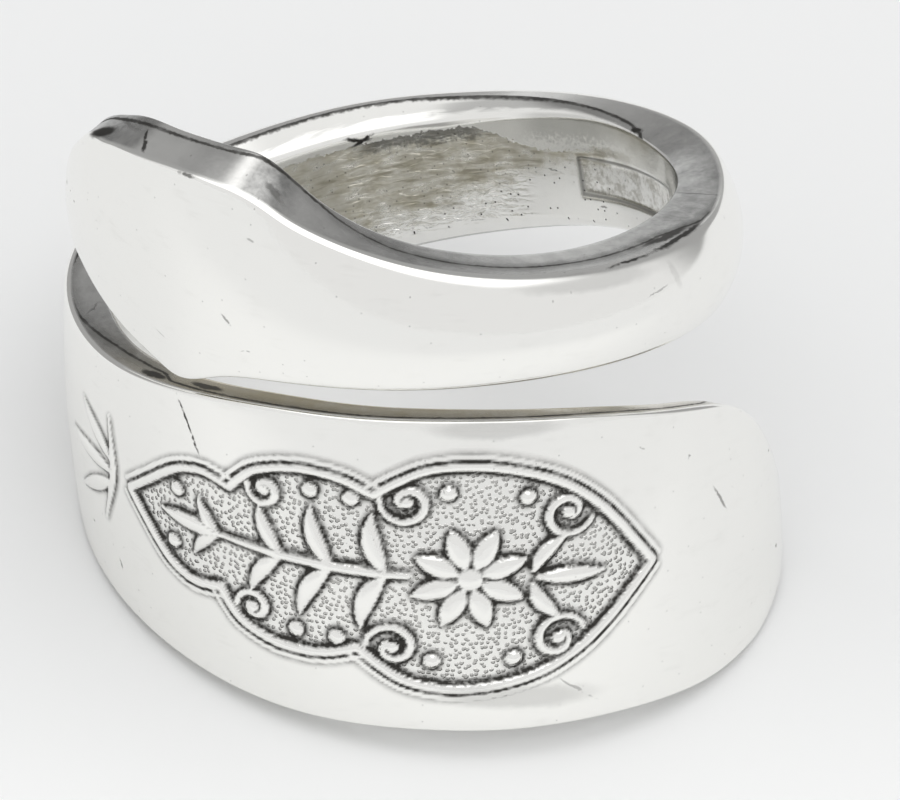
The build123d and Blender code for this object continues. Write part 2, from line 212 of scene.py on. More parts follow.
FULL_BOW = rows_of("along across", (
    (0.0, 0.0), (0.04, 0.22), (0.11, 0.58), (0.2, 0.86), (0.32, 1.0), (0.43, 0.95), (0.515, 0.7),
))
MIDDLE_BOW = rows_of("along across", (
    (0.515, 0.7), (0.57, 0.8), (0.65, 0.82), (0.73, 0.7), (0.775, 0.47),
))
END_BOW = rows_of("along across", (
    (0.775, 0.47), (0.83, 0.52), (0.89, 0.43), (0.95, 0.2), (1.0, 0.0),
))
LEAVES = rows_of("along across heading length width", (
    (0.225, 0.06, 118.0, 1.5, 0.55),
    (0.48, 0.02, 62.0, 2.0, 0.66),
    (0.575, 0.02, 55.0, 2.0, 0.62),
    (0.665, 0.02, 48.0, 1.7, 0.56),
    (0.79, 0.02, 38.0, 1.25, 0.46),
))
MIDDLE_LEAVES = rows_of("along across heading length width", (
    (0.215, 0.0, 180.0, 2.1, 0.62),
    (0.79, 0.0, 0.0, 2.2, 0.62),
))
STEM = rows_of("along across width", (
    (0.44, 0.0, 0.3), (0.56, 0.0, 0.42), (0.68, 0.0, 0.36), (0.8, 0.0, 0.22),
))
SCROLLS = rows_of("along across radius heading sense", (
    (0.17, 0.56, 0.62, 200.0, 1),
    (0.455, 0.66, 0.6, 5.0, -1),
    (0.708, 0.55, 0.42, 10.0, -1),
))
BERRIES = rows_of("along across", (
    (0.245, 0.72), (0.385, 0.76), (0.552, 0.64), (0.625, 0.65), (0.885, 0.25),
))
LEAF_SWELL = rows_of("run width", (
    (0.0, 0.35), (0.3, 0.95), (0.55, 1.0), (0.8, 0.65), (1.0, 0.15),
))
scroll_steps = 8
scroll_sweep = 400.0
scroll_tail = 1.35
scroll_eye = 0.35
scroll_thin = 0.65

# The small sunk panel in the finger's hole
stamp_place = 56.7
stamp_length = 6.2
stamp_width = 1.45
stamp_side = -0.15
stamp_depth = 0.08
stamp_wall = 0.18  # width of its sloping rim

# How far painted shade darkens the upper side, and how brown that side has gone, by place along the length
UPPER_TONES = rows_of("place patina brown", (
    (0.0, 0.0, 0.2), (0.1, 0.1, 0.65), (0.14, 0.18, 0.8), (0.22, 0.2, 1.0), (0.255, 0.3, 0.9),
    (0.27, 0.7, 0.5), (0.3, 0.74, 0.1), (0.32, 0.62), (0.335, 0.4), (0.4, 0.12), (0.5, 0.0),
    (0.58, 0.05), (0.62, 0.4), (0.65, 0.7), (0.69, 0.82), (0.72, 0.82), (0.745, 0.68), (0.78, 0.52),
    (0.81, 0.52), (0.845, 0.72), (0.865, 0.45), (0.882, 0.3), (0.889, 0.8), (0.9, 0.85),
    (0.902, 0.3), (0.905, 0.25), (0.909, 0.48), (0.915, 0.42), (0.928, 0.08), (0.943, 0.05),
    (0.947, 0.6), (0.962, 0.85), (0.985, 0.9), (1.0, 0.5),
))

# Scratches, nicks and spots on each face, with painted soft shades and dark reflections among them: points as
# places along the strip and across it (a depth on the upper side), the half width and the strength
OUTER_MARKS = rows_of("points radius strength", (
    (((23.44, 4.4), (22.13, 2.24)), 0.065, 0.95),
    (((5.53, 1.73), (4.8, 0.66)), 0.07, 0.6),
    (((10.84, -3.46), (9.36, -4.47)), 0.07, 0.45),
    (((8.59, 3.93), (8.4, 3.75)), 0.06, 0.5),
    (((6.58, 3.06),), 0.07, 0.5),
    (((23.9, -4.95), (23.5, -4.98)), 0.07, 0.6),
    (((25.6, -3.05), (25.4, -3.4)), 0.06, 0.6),
    (((27.3, -2.67),), 0.08, 0.6),
    (((1.73, 1.47),), 0.07, 0.7),
    (((0.85, -0.5),), 0.06, 0.7),
    (((1.43, -1.81),), 0.08, 0.7),
    (((70.36, 0.25), (69.26, 0.53)), 0.045, 0.4),
    (((82.6, -0.68), (82.25, -1.0)), 0.05, 0.55),
    (((81.95, -1.8), (81.55, -1.62)), 0.04, 0.4),
    (((82.0, 2.18), (81.8, 2.1)), 0.06, 0.4),
    (((90.79, -0.41),), 0.08, 0.9),
    (((90.18, -0.31),), 0.06, 0.7),
    (((89.76, -0.48),), 0.07, 0.8),
    (((91.1, -1.3),), 0.08, 0.8),
    (((85.0, -2.3), (84.5, -2.5)), 0.03, 0.35),
    # The last four are painted dark reflections: wide, faint grey patches
    (((11.2, 5.02), (15.4, 5.02)), 0.42, 0.22),
    (((9.4, -4.15), (14.4, -4.05)), 0.55, 0.24),
    (((69.5, 1.05), (74.5, 1.3)), 0.4, 0.2),
    (((69.1, 1.1), (68.8, 0.3)), 0.16, 0.12),
))
UPPER_MARKS = rows_of("points radius strength", (
    (((86.85, 0.4), (86.5, 0.85)), 0.09, 0.95),
    (((86.6, 0.75), (86.1, 1.25)), 0.09, 0.95),
    (((88.2, 0.78), (88.72, 1.0)), 0.36, 1.0),
    (((86.9, 0.55), (88.4, 0.35)), 0.1, 0.45),
    (((84.75, 1.62), (83.9, 1.52)), 0.1, 0.75),
    (((81.95, 0.8), (81.25, 1.15)), 0.18, 0.5),
    # The next three, along the neck beside the crease, are painted dark reflections
    (((71.6, 1.93), (69.4, 1.8)), 0.1, 0.95),
    (((69.8, 1.8), (66.2, 1.6)), 0.17, 1.0),
    (((69.6, 1.25), (66.7, 1.4)), 0.24, 0.9),
    (((23.4, 0.5), (22.0, 0.6)), 0.24, 0.9),
    (((25.3, 0.8), (24.2, 0.8)), 0.24, 0.95),
    (((19.9, 0.75), (18.9, 0.78)), 0.1, 0.7),
    (((30.3, 0.35), (29.3, 1.0)), 0.06, 0.55),
    (((56.8, 0.1), (57.2, 0.16)), 0.16, 1.0),
))
INNER_MARKS = rows_of("points radius strength", (
    (((45.1, 1.78), (46.2, 1.5)), 0.1, 1.0),
    (((45.3, 1.45), (46.3, 1.74)), 0.09, 1.0),
    (((52.2, 0.05), (53.0, -0.15)), 0.04, 0.6),
    (((54.4, -1.1), (54.9, -1.15)), 0.05, 0.6),
))
MARKS = {"outer": OUTER_MARKS, "upper": UPPER_MARKS, "inner": INNER_MARKS}

# The photograph's camera, in the ring's upright frame
camera_elevation = 25.917
camera_roll = -3.267
camera_distance = 560.8
camera_aim = (1.497, 0.0, 3.084)
focal_pixels = 17774.0
image_width = 900
sensor_width = 36.0

# Brightness of the tent in front and at the sides, low down at the back, and overhead, and where the last
# two set in, as shares of a direction
front_sky = 0.82
back_sky = 0.37
top_sky = 1.45
back_from, back_full = 0.10, 0.50
top_from, top_full = 0.70, 0.84

# The floor, and the pool of light painted into its colour in front of the ring
floor_reach = 4.0  # metres
FLOOR = (0.885, 0.89, 0.89)
FLOOR_PAINTED_LIGHT = (0.965, 0.97, 0.965)

# Colours of the metal, each with the most of it that covers the ones before it, in their order: painted shade
# on the upper side, dull places, brown end, worn edge, tarnish and its deeper patches, mottled panel, grey,
# dark tarnish, stipple, and the dark hollows, marks and crease line, among which are painted shades and
# reflections
BRIGHT = (0.93, 0.925, 0.90)
PAINTS = rows_of("colour strength", (
    ((0.24, 0.24, 0.235), 1.0),
    ((0.45, 0.44, 0.4), 1.0),
    ((0.6, 0.54, 0.39), 0.95),
    ((0.27, 0.27, 0.26), 0.55),
    ((0.47, 0.44, 0.35), 0.92),
    ((0.3, 0.28, 0.23), 0.4),
    ((0.34, 0.32, 0.27), 0.6),
    ((0.4, 0.4, 0.38), 0.5),
    ((0.16, 0.16, 0.15), 0.8),
    ((0.12, 0.115, 0.105), 0.5),
    ((0.05, 0.048, 0.044), 1.0),
))

# Stretches along the strip: where each starts, is full, and ends
Stretch = namedtuple("Stretch", "start full_from full_to end")
BACK = Stretch(40.0, 43.0, 54.0, 58.0)
DARK_STRETCH = Stretch(45.0, 46.3, 49.4, 50.8)
HAMMERED = Stretch(44.0, 45.5, 49.5, 52.0)

# Between two places along the strip: how high the tarnish's upper border lies, what it then rises by, and
# how high the foot's top lies, as sides
border_fall = 49.2, 52.4, 1.47, 0.66
border_rise = 53.0, 55.5, 0.0, 0.30
foot_rise = 46.0, 54.5, -1.35, 0.40

# The finish: heights and depths in millimetres, and how much of a mark is fully dark
hammer_depth = 0.11
swell_height = 0.012
stipple_scale = 5.6
dot_depth = 0.03
mark_core = 0.45

# How finely the mesh is divided
coarse_step = 0.3  # along the strip
end_step = 0.1  # along the sunk panel; half of it along the tips, and half as much again along the flare
tip_stretch = 3.0  # length of the finer rows at each tip
stamp_reach = 4.0  # how far to each side of its middle the sunk panel's finer rows go
flare_start = 74.3  # where the flared end begins
patch_from, patch_to = 7.5, 29.3  # stretch of the relief
patch_reach = 0.86  # share of the outer face's half width that the relief may use
patch_rows = 86  # rows and columns of the coarse cells that the relief takes
patch_columns = 32
patch_split = 4  # how many times each of those cells is divided, each way
patch_margin = 3  # columns of the outer face on each hand of the relief
inner_columns = 33
curve_points = 6000  # on the smooth curve through the sections
LOW_STEPS = (0.25, 0.5, 0.75, 1)  # round the inner edge, over the wall, and round the outer edge
WALL_STEPS = (0.08, 0.3, 0.5, 0.7, 0.92)
HIGH_STEPS = (0, 0.2, 0.4, 0.6, 0.8)

# What a column of the mesh belongs to
INNER_FACE, WALL, OUTER_ROUND, OUTER_FACE, INNER_ROUND = range(5)

# What the mesh tells its material at each point, besides the place on the strip
FIELDS = ("hollow_dark", "inner_share", "upper_share", "crease_gap", "sunk_share", "ground_share")


def natural_spline(knots, values, at):
    """A natural cubic spline through values at knots, read at other places."""
    count = len(knots)
    gap = np.diff(knots)
    slope = np.diff(values) / gap
    system = np.eye(count)
    for k in range(1, count - 1):
        system[k, k - 1 : k + 2] = gap[k - 1], 2 * (gap[k - 1] + gap[k]), gap[k]
    curl = np.linalg.solve(system, 6 * np.diff(slope, prepend=slope[0], append=slope[-1]))
    k = np.clip(np.searchsorted(knots, at) - 1, 0, count - 2)
    after, before = at - knots[k], knots[k + 1] - at
    curve = (curl[k] * before**3 + curl[k + 1] * after**3) / (6 * gap[k])
    curve += (values[k] / gap[k] - curl[k] * gap[k] / 6) * before
    return curve + (values[k + 1] / gap[k] - curl[k + 1] * gap[k] / 6) * after


def strip_columns(along):
    """The section table's columns at places along the strip, on smooth curves, in millimetres."""
    whole = (strip_length, widest_half, thickest, neck_crown, widest_half, outer_round, widest_half)
    table = np.array(SECTIONS) * np.array(whole)
    chord = np.hypot(np.diff(table[:, 0]), np.diff(table[:, 1]))
    knots = np.concatenate([[0.0], np.cumsum(chord)])
    fine = np.linspace(0, knots[-1], curve_points)
    columns = [natural_spline(knots, table[:, k], fine) for k in range(len(whole))]
    return [np.interp(along, columns[0], column) for column in columns[1:]]


wrap_radius = finger_radius + bend_depth * thickest
lead = np.radians(turn_rise_angle)


def strip_point(along, shift, side, depth):
    """Points of the strip in the upright frame: side across the section, depth out from the finger."""
    off = np.maximum(0.0, 1.0 - along / flare_length)
    spring = np.maximum(0.0, 1.0 - (strip_length - along) / end_lift_length)
    radius = finger_radius + tip_flare * off * off + end_lift * spring * spring
    turned = np.radians(tip_angle) - along * np.cos(lead) / wrap_radius
    out = np.stack([np.cos(turned), np.sin(turned), np.zeros_like(turned)], -1)
    onward = np.stack([np.sin(turned), -np.cos(turned), np.zeros_like(turned)], -1)
    up = np.array([0.0, 0.0, 1.0])
    across = up * np.cos(lead) - onward * np.sin(lead)
    foot = out * radius[..., None] + up * (along * np.sin(lead))[..., None]
    foot = foot + across * shift[..., None]
    return foot[..., None, :] + across[..., None, :] * side[..., None] + out[..., None, :] * depth[..., None]


def smooth(share):
    """0 to 1 with level ends."""
    share = np.clip(share, 0.0, 1.0)
    return share * share * (3 - 2 * share)


def rounded_course(points, pieces=8):
    """More points on a Catmull-Rom curve through a few, whose rows may hold a width too."""
    points = np.array(points, float)
    padded = np.vstack([2 * points[0] - points[1], points, 2 * points[-1] - points[-2]])
    course = []
    for a, b, c, d in zip(padded, padded[1:], padded[2:], padded[3:]):
        for t in np.arange(pieces) / pieces:
            turning = (2 * a - 5 * b + 4 * c - d) * t**2
            twisting = (3 * b - a - 3 * c + d) * t**3
            course.append(0.5 * (2 * b + (c - a) * t + turning + twisting))
    return np.array(course + [points[-1]])


class Relief:
    """Heights over the flat strip, at grid places along and side, built up line by line."""

    def __init__(self, along, side):
        self.along, self.side = along, side
        self.height = np.zeros_like(along)
        self.line = np.zeros_like(along)

    def near(self, course, margin):
        """Which places lie in the box round a course, with a margin."""
        low, high = course[:, :2].min(0) - margin, course[:, :2].max(0) + margin
        in_along = (self.along > low[0]) & (self.along < high[0])
        return in_along & (self.side > low[1]) & (self.side < high[1])

    def distance(self, course, mask):
        """Distance from the course as a share of its half width there, the distance, and the half width."""
        a, s = self.along[mask], self.side[mask]
        nearest = np.full((3, *a.shape), np.inf)
        for p, q in zip(course, course[1:]):
            run = q[:2] - p[:2]
            t = ((a - p[0]) * run[0] + (s - p[1]) * run[1]) / (run @ run)
            t = np.clip(t, 0, 1)
            d = np.hypot(a - p[0] - t * run[0], s - p[1] - t * run[1])
            w = (p[2] + (q[2] - p[2]) * t) / 2
            nearest = np.where(d / w < nearest[0], (d / w, d, w), nearest)
        return nearest

    def raise_line(self, points, height=1.0, shoulder=0.13, vein=0.0, dome=0.25):
        """A raised line whose rows of points hold a place along, a side and a width."""
        course = rounded_course(points)
        mask = self.near(course, course[:, 2].max())
        share, gap, half = self.distance(course, mask)
        edge = smooth((half - gap) / np.minimum(shoulder, half))
        top = edge * (1 - dome + dome * np.clip(1 - share * share, 0, 1)) * height
        top -= vein * smooth(1 - gap / vein_half) * (half > vein_least)
        self.height[mask] = np.maximum(self.height[mask], top)
        self.line[mask] = np.maximum(self.line[mask], edge)

    def raise_knob(self, place, radius, height=1.0):
        """A half ball, which counts as fully raised from a third of its radius in from its rim."""
        d = np.hypot(self.along - place[0], self.side - place[1]) / radius
        top = height * np.sqrt(np.clip(1 - d * d, 0, 1))
        self.height = np.maximum(self.height, top)
        self.line = np.maximum(self.line, smooth((1 - d) * 3))


def on_panel(row, hand):
    """A row's place, given as shares of the panel, on the upper or the lower hand."""
    return panel_start + row.along * panel_length, hand * row.across * panel_half


def away(place, heading, reach):
    """A place at a heading, in degrees, and a distance from another."""
    turned = np.radians(heading)
    return place[0] + reach * np.cos(turned), place[1] + reach * np.sin(turned)


def leaf_rows(root, heading, length, width, bend=0.0):
    """A leaf's course: it swells from its root, may bend, and narrows to its point."""
    rows = []
    for swell in LEAF_SWELL:
        place = away(root, heading + bend * (swell.run - 0.5), length * swell.run)
        rows.append((*place, width * swell.width))
    return rows


def scroll_rows(eye, radius, heading, sense):
    """A scroll's course: it winds in towards its eye and is thickest half way."""
    rows = []
    for step in range(2 * scroll_steps + 1):
        share = step / (2 * scroll_steps)
        reach = radius * (scroll_tail + (scroll_eye - scroll_tail) * share)
        width = scroll_width * (scroll_thin + (1 - scroll_thin) * np.sin(np.pi * share))
        rows.append((*away(eye, heading + sense * scroll_sweep * share, reach), width))
    return rows


def rim_outline():
    """The panel's outline on the upper hand, as a course for each of its three bows."""
    courses = []
    for bow in (FULL_BOW, MIDDLE_BOW, END_BOW):
        rows = [(*on_panel(point, 1), rim_width) for point in bow]
        courses.append(rounded_course(rows, pieces=10))
    return courses


def moved_out(rows, hand):
    """A thinner line beside the rim, on its outer side."""
    way = np.gradient(rows[:, :2], axis=0)
    way /= np.hypot(*way.T)[:, None]
    out = np.stack([-way[:, 1], way[:, 0]], -1) * hand
    return np.column_stack([rows[:, :2] + out * rim_gap, np.full(len(rows), rim_line)])


def inside(along, side, outline):
    """Which places lie inside a closed outline that is the same on both hands."""
    edge = np.concatenate([part[:, :2] for part in outline])
    return np.abs(side) < np.interp(along, edge[:, 0], edge[:, 1], left=0, right=0)


def soften(field, radius):
    """A field blurred over a few grid steps."""
    reach = int(np.ceil(3 * radius))
    offsets = np.arange(-reach, reach + 1)
    weights = np.exp(-0.5 * (offsets / radius) ** 2)
    weights /= weights.sum()
    for axis in (0, 1):
        padded = np.pad(field, [(reach, reach) if k == axis else (0, 0) for k in (0, 1)], mode="edge")
        at = np.arange(field.shape[axis])
        field = sum(w * np.take(padded, at + k, axis=axis) for k, w in enumerate(weights))
    return field


def raise_rim(relief, outline):
    """The panel's rim, with a thinner line beside it."""
    for hand in (1, -1):
        for course in outline:
            rows = (course * np.array([1, hand, 1]))[::rim_every]
            relief.raise_line(rows, dome=0.15)
            relief.raise_line(moved_out(rows, hand), rim_line_height, shoulder=0.09, dome=0.3)


def raise_growth(relief):
    """The panel's stem, leaves, scrolls and berries."""
    relief.raise_line([(*on_panel(point, 1), point.width) for point in STEM], form_height)
    for row in MIDDLE_LEAVES:
        relief.raise_line(leaf_rows(on_panel(row, 1), row.heading, row.length, row.width), vein=leaf_vein)
    for hand in (1, -1):
        for row in LEAVES:
            rows = leaf_rows(on_panel(row, hand), hand * row.heading, row.length, row.width, hand * leaf_bend)
            relief.raise_line(rows, form_height, vein=leaf_vein)
        for row in SCROLLS:
            rows = scroll_rows(on_panel(row, hand), row.radius, hand * row.heading, hand * row.sense)
            relief.raise_line(rows, form_height)
            relief.raise_knob(on_panel(row, hand), scroll_knob)
        for row in BERRIES:
            relief.raise_knob(on_panel(row, hand), berry_radius)


def raise_flower(relief):
    """The flower of the panel, petal by petal round its heart."""
    middle = panel_start + flower_place * panel_length
    for count in range(petal_count):
        heading = 360 * (count + 0.5) / petal_count
        root = away((middle, 0.0), heading, heart_radius)
        rows = leaf_rows(root, heading, flower_radius - heart_radius, petal_width)
        relief.raise_line(rows, form_height, vein=petal_vein)
    relief.raise_knob((middle, 0.0), heart_radius, heart_height)


def raise_crest(relief):
    """The small crest behind the panel: a bar with three leaves."""
    start = panel_start + panel_length + crest_gap
    bar = (
        (start, crest_half, crest_bar_end),
        (start - crest_bar_width, 0.0, crest_bar_width),
        (start, -crest_half, crest_bar_end),
    )
    relief.raise_line(bar, crest_height)
    for hand, share in ((0, 1.0), (1, crest_side_share), (-1, crest_side_share)):
        root = start - crest_bar_width, hand * crest_leaf_width * crest_leaf_spread
        rows = leaf_rows(root, hand * crest_side_heading, crest_leaf_length * share, crest_leaf_width)
        relief.raise_line(rows, crest_height, vein=petal_vein)


def relief_fields(along, side):
    """At each of a grid of places: the height in millimetres over the outer face, how dark a hollow has gone,
    and how far the place belongs to the panel's bare ground."""
    outline = rim_outline()
    relief = Relief(along, side)
    raise_rim(relief, outline)
    raise_growth(relief)
    raise_flower(relief)
    raise_crest(relief)
    sunk = soften(inside(along, side, outline).astype(float), form_blur)
    free = np.clip(1 - relief.line, 0, 1)
    height = relief_height * relief.height - ground_depth * sunk * free
    hollow = np.clip((soften(height, form_blur) - height) / hollow_depth - hollow_start, 0, 1)
    dark = np.clip(hollow * free + ground_dark * sunk * free, 0, 1)
    return soften(height, height_blur), dark, sunk * free


def worn(table, along):
    """A depth table read at places along the strip."""
    places, depths = np.array(table).T
    return np.interp(along / strip_length, places, depths)


def corner_points(start, knee, end, steps):
    """Points on a curve from start to end that leaves and arrives along the lines to the knee."""
    return [(1 - t) ** 2 * start + 2 * t * (1 - t) * knee + t * t * end for t in steps]


def edge_radius(outer, thick, half):
    """How far the outer edge is rounded: no further than the section has room for."""
    return np.minimum(outer, edge_share * np.minimum(thick, half))


def stamp_shape(along, side):
    """How far into the sunk panel each place lies, 0 to 1."""
    run = (along - stamp_place) / (stamp_length / 2)
    rise = abs(side - stamp_side) / (stamp_width / 2)
    inward = np.minimum((1 - abs(run)) * stamp_length / 2, (1 - rise) * stamp_width / 2)
    return smooth(inward / stamp_wall)


def profile(columns, wear):
    """The closed outline of each section as sides and depths, from the lower edge of the inner face round,
    and what each of its points belongs to."""
    half, thick, crown, _, outer, lean = columns
    outer = edge_radius(outer, thick, half)
    inner = np.minimum(wear, np.minimum(wear_share * thick, edge_share * half))
    drop = inner * (inner_drop + inner_spread * inner)
    straight = smooth((inner - bevel_from) / bevel_span) * bevel_flatness
    flat = half - outer
    slope = 2 * crown / flat
    zero = np.zeros_like(half)

    def edge(hand, reach):
        """One side, from the inner face to the outer one; its inner edge lies reach beyond its outer edge."""
        length = np.hypot(reach, thick)
        along = np.stack([-reach / length, thick / length])
        foot = np.stack([half + reach, zero])
        fall = np.stack([half + reach - drop, zero])
        rise = foot + along * inner
        knee = foot + straight * ((fall + rise) / 2 - foot)
        low = corner_points(fall, knee, rise, LOW_STEPS)
        knee = foot + along * ((thick - slope * (foot[0] - flat)) / (along[1] + slope * along[0]))
        brow = knee - along * outer
        high = corner_points(brow, knee, np.stack([flat, thick]), HIGH_STEPS)
        start = low[-1]
        wall = [start + (brow - start) * t for t in WALL_STEPS]
        rows = [(point, INNER_ROUND) for point in low[:-1]] + [(point, WALL) for point in [start] + wall]
        rows += [(point, OUTER_ROUND) for point in high]
        return [(point * np.array([[hand], [1]]), kind) for point, kind in rows]

    rows = []
    for u in np.linspace(-1, 1, inner_columns):
        rows.append((np.stack([u * (half - drop) + (u > 0) * u * lean, zero]), INNER_FACE))
    rows += edge(1, lean)
    margin = np.linspace(1, patch_reach, patch_margin + 1)[:-1]
    patch = np.linspace(patch_reach, -patch_reach, patch_columns + 1)
    for u in np.concatenate([margin, patch, -margin[::-1]]):
        rows.append((np.stack([u * flat, thick + crown * (1 - u * u)]), OUTER_FACE))
    rows += edge(-1, zero)[::-1]
    sides, depths = np.stack([point for point, _ in rows], -1)
    return sides, depths, np.array([kind for _, kind in rows])


def row_places():
    """Where the mesh has its rows along the strip."""
    first, last = SECTIONS[0].place * strip_length, SECTIONS[-1].place * strip_length
    spans = (
        (first, tip_stretch, end_step / 2),
        (tip_stretch, patch_from, coarse_step),
        (patch_from, patch_to, (patch_to - patch_from) / patch_rows),
        (patch_to, stamp_place - stamp_reach, coarse_step),
        (stamp_place - stamp_reach, stamp_place + stamp_reach, end_step),
        (stamp_place + stamp_reach, flare_start, coarse_step),
        (flare_start, last - tip_stretch, 1.5 * end_step),
        (last - tip_stretch, last, end_step / 2),
    )
    rows = [np.array([first])]
    for start, end, step in spans:
        rows.append(np.linspace(start, end, round((end - start) / step) + 1)[1:])
    return np.concatenate(rows)


def wall_fields(rows, kinds, depth, sunk):
    """The shading's fields on the strip without its relief, in the order of FIELDS."""
    last_outer = np.flatnonzero(kinds == OUTER_FACE)[-1]
    upper_hand = np.arange(len(kinds)) < last_outer
    rounding = kinds == INNER_ROUND
    inner = np.where(kinds == INNER_FACE, 1.0, 0.0)
    fading = 1 - np.array(LOW_STEPS[:-1])
    inner[rounding & upper_hand] = fading
    inner[rounding & ~upper_hand] = fading[::-1]
    fields = np.zeros((len(rows), len(kinds), len(FIELDS)))
    fields[..., FIELDS.index("inner_share")] = inner
    fields[..., FIELDS.index("upper_share")] = ((kinds == WALL) | rounding) & upper_hand
    fields[..., FIELDS.index("crease_gap")] = depth - worn(CREASE, rows)[:, None]
    fields[:, kinds == INNER_FACE, FIELDS.index("sunk_share")] = sunk
    return fields


def vertex_table(rows, shift, side, depth, fields):
    """For each vertex its point, its place on the strip and its fields."""
    along = np.repeat(rows[:, None], side.shape[1], 1)
    place = np.stack([along, side + shift[:, None], depth], -1)
    return np.concatenate([strip_point(rows, shift, side, depth), place, fields], -1)


def coarse_table():
    """Where the rows of vertices lie, what each column belongs to, and the vertices."""
    rows = row_places()
    columns = strip_columns(rows)
    shift = columns[3]
    side, depth, kinds = profile(columns, worn(INNER_WEAR, rows))
    inner_face = kinds == INNER_FACE
    sunk = stamp_shape(rows[:, None], side[:, inner_face] + shift[:, None])
    depth[:, inner_face] += stamp_depth * sunk
    fields = wall_fields(rows, kinds, depth, sunk)
    return rows, kinds, vertex_table(rows, shift, side, depth, fields)


def fine_table():
    """The vertices of the finer grid that holds the relief."""
    rows = np.linspace(patch_from, patch_to, patch_rows * patch_split + 1)
    half, thick, crown, shift, outer = strip_columns(rows)[:5]
    u = np.linspace(patch_reach, -patch_reach, patch_columns * patch_split + 1)
    side = u[None, :] * (half - edge_radius(outer, thick, half))[:, None]
    face = thick[:, None] + crown[:, None] * (1 - u * u)[None, :]
    along = np.repeat(rows[:, None], len(u), 1)
    height, dark, ground = relief_fields(along, side + shift[:, None])
    fields = np.zeros((*height.shape, len(FIELDS)))
    fields[..., FIELDS.index("hollow_dark")] = dark
    fields[..., FIELDS.index("ground_share")] = ground
    return vertex_table(rows, shift, side, face + height, fields)


def band_faces(index, fine_index, row_low, col_low):
    """Faces round the strip, with many-sided ones beside the relief's finer grid, that grid's own, and the
    two ends."""
    last_row, last_col = row_low + patch_rows, col_low + patch_columns
    count, ring = index.shape
    faces = []
    for i in range(count - 1):
        for j in range(ring):
            in_rows, in_cols = row_low <= i < last_row, col_low <= j < last_col
            if in_rows and in_cols:
                continue
            k = (j + 1) % ring
            a, b, c, d = index[i, j], index[i, k], index[i + 1, k], index[i + 1, j]
            along, across = (i - row_low) * patch_split, (j - col_low) * patch_split
            corner = [a, b, c, d]
            if in_cols and i == row_low - 1:
                corner = [a, b, *fine_index[0, across : across + patch_split + 1][::-1]]
            elif in_cols and i == last_row:
                corner = [*fine_index[-1, across : across + patch_split + 1], c, d]
            elif in_rows and j == col_low - 1:
                corner = [a, *fine_index[along : along + patch_split + 1, 0], d]
            elif in_rows and j == last_col:
                corner = [*fine_index[along : along + patch_split + 1, -1][::-1], b, c]
            faces.append([int(v) for v in corner])
    quads = [fine_index[:-1, :-1], fine_index[:-1, 1:], fine_index[1:, 1:], fine_index[1:, :-1]]
    faces += np.stack(quads, -1).reshape(-1, 4).tolist()
    return faces + [index[0, ::-1].tolist(), index[-1].tolist()]


def build_band():
    """The whole ring as one closed mesh, with the relief as real shape on the wide end."""
    rows, kinds, table = coarse_table()
    fine = fine_table()
    row_low = int(np.argmin(abs(rows - patch_from)))
    col_low = int(np.flatnonzero(kinds == OUTER_FACE)[patch_margin])
    index = np.arange(len(rows) * len(kinds)).reshape(len(rows), len(kinds))
    shared = index[row_low : row_low + patch_rows + 1, col_low : col_low + patch_columns + 1]
    fine_index = np.full(fine.shape[:2], -1)
    fine_index[::patch_split, ::patch_split] = shared
    new = fine_index < 0
    fine_index[new] = index.size + np.arange(new.sum())
    vertices = table.reshape(index.size, -1)
    vertices[shared] = fine[::patch_split, ::patch_split]
    return np.vstack([vertices, fine[new]]), band_faces(index, fine_index, row_low, col_low)


def row_transform():
    """The ring's upright frame in the row's frame, from the finger hole's mount."""
    lean = Vector(hole["axis"]).normalized()
    spread = 1 / (1 + (lean.x / lean.z) ** 2) ** 0.5
    up = Vector((-lean.x * spread / lean.z, -lean.y * spread, lean.z))
    ahead = (Vector((1, 0, 0)) - up * up.x).normalized()
    aside = up.cross(ahead)
    turn = Matrix((ahead, aside, up))
    middle = Vector(hole["pos_m"])
    return turn, middle - turn @ Vector((0, 0, hole_middle * MM))


turn, origin = row_transform()


def in_row(points):
    """Points of the upright frame, in millimetres, in the row's frame in metres, inside the solid's box."""
    placed = points * MM @ np.array(turn).T + np.array(origin)
    return np.clip(placed, np.array(cad_box[0]), np.array(cad_box[1]))


def add_object(name, data):
    made = bpy.data.objects.new(name, data)
    bpy.context.scene.collection.objects.link(made)
    return made


def add_field(mesh, name, values):
    field = mesh.attributes.new(name, "FLOAT", "POINT")
    field.data.foreach_set("value", values.astype(np.float32))


def make_piece(name, vertices, faces):
    """A mesh from rows of a point, its place on the strip and its fields."""
    points, places, fields = np.split(vertices, (3, 6), axis=1)
    mesh = bpy.data.meshes.new(name)
    mesh.from_pydata(in_row(points).tolist(), [], faces)
    mesh.update()
    place = mesh.attributes.new("strip_place", "FLOAT_VECTOR", "POINT")
    place.data.foreach_set("vector", places.astype(np.float32).ravel())
    for field, values in zip(FIELDS, fields.T):
        add_field(mesh, field, values)
    # The upper side's painted shade and its brown, by place along the length
    tone_places, painted_shades, browns = np.array(UPPER_TONES).T
    for field, tones in (("patina", painted_shades), ("brown", browns)):
        add_field(mesh, field, np.interp(places[:, 0] / strip_length, tone_places, tones))
    mesh.shade_smooth()
    return add_object(name, mesh)


